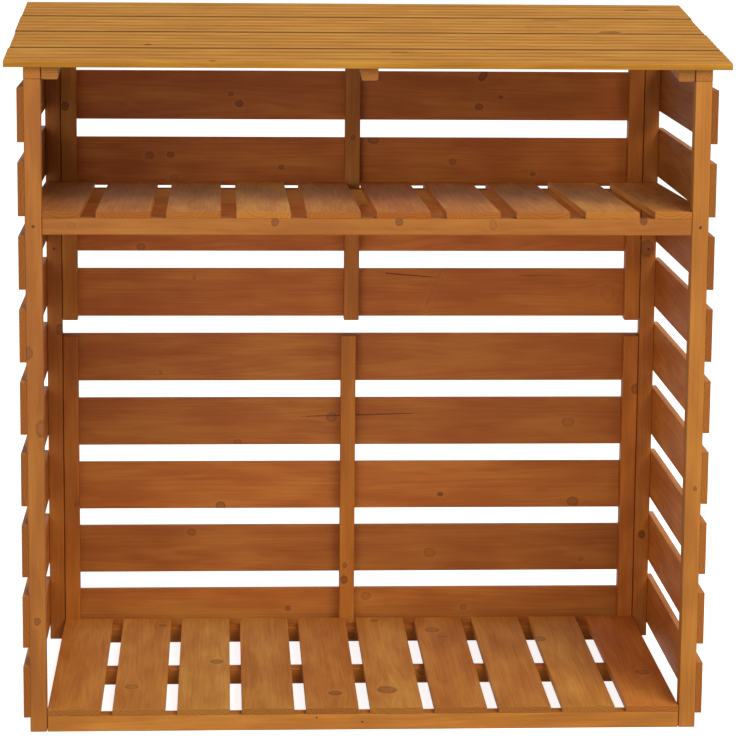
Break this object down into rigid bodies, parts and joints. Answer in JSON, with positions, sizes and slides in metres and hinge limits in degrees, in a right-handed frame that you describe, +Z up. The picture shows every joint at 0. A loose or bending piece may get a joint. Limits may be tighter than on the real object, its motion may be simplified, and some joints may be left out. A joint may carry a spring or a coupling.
{
  "type": "log store",
  "caption": "Open-fronted timber log store with slatted sides, boarded back, slatted floor and shelf, and a grooved-board roof falling to the front.",
  "frame": {"origin": "on the ground at the centre of the overall footprint", "axes": "+X to the right seen from the open front, the open front faces -Y, +Z up"},
  "size_m": [1.2, 0.6152, 1.2023],
  "materials": {
    "boards": "planed softwood, honey-brown stain",
    "battens": "planed softwood batten, honey stain",
    "roof_boards": "grooved softwood, golden stain",
    "screws": "yellow-passivated wood screw, satin"
  },
  "bodies": {
    "root": {"left_front_post": "battens", "right_front_post": "battens", "left_rear_post": "battens", "right_rear_post": "battens", "left_top_rail": "battens", "right_top_rail": "battens", "left_side_slats": "boards", "right_side_slats": "boards", "lower_back_board_1": "boards", "lower_back_board_2": "boards", "lower_back_board_3": "boards", "lower_back_board_4": "boards", "lower_back_board_5": "boards", "upper_back_board_1": "boards", "upper_back_board_2": "boards", "upper_back_board_3": "boards", "upper_back_board_4": "boards", "lower_back_batten_left": "battens", "lower_back_batten_middle": "battens", "lower_back_batten_right": "battens", "upper_back_batten_left": "battens", "upper_back_batten_middle": "battens", "upper_back_batten_right": "battens", "floor_front_rail": "battens", "floor_middle_rail": "battens", "floor_rear_rail": "battens", "floor_slats": "boards", "shelf_front_rail": "battens", "shelf_rear_rail": "battens", "shelf_left_bearer": "battens", "shelf_right_bearer": "battens", "shelf_slats": "boards", "roof_board_1": "roof_boards", "roof_board_2": "roof_boards", "roof_board_3": "roof_boards", "roof_board_4": "roof_boards", "roof_batten_left": "battens", "roof_batten_middle": "battens", "roof_batten_right": "battens"}
  },
  "joints": []
}
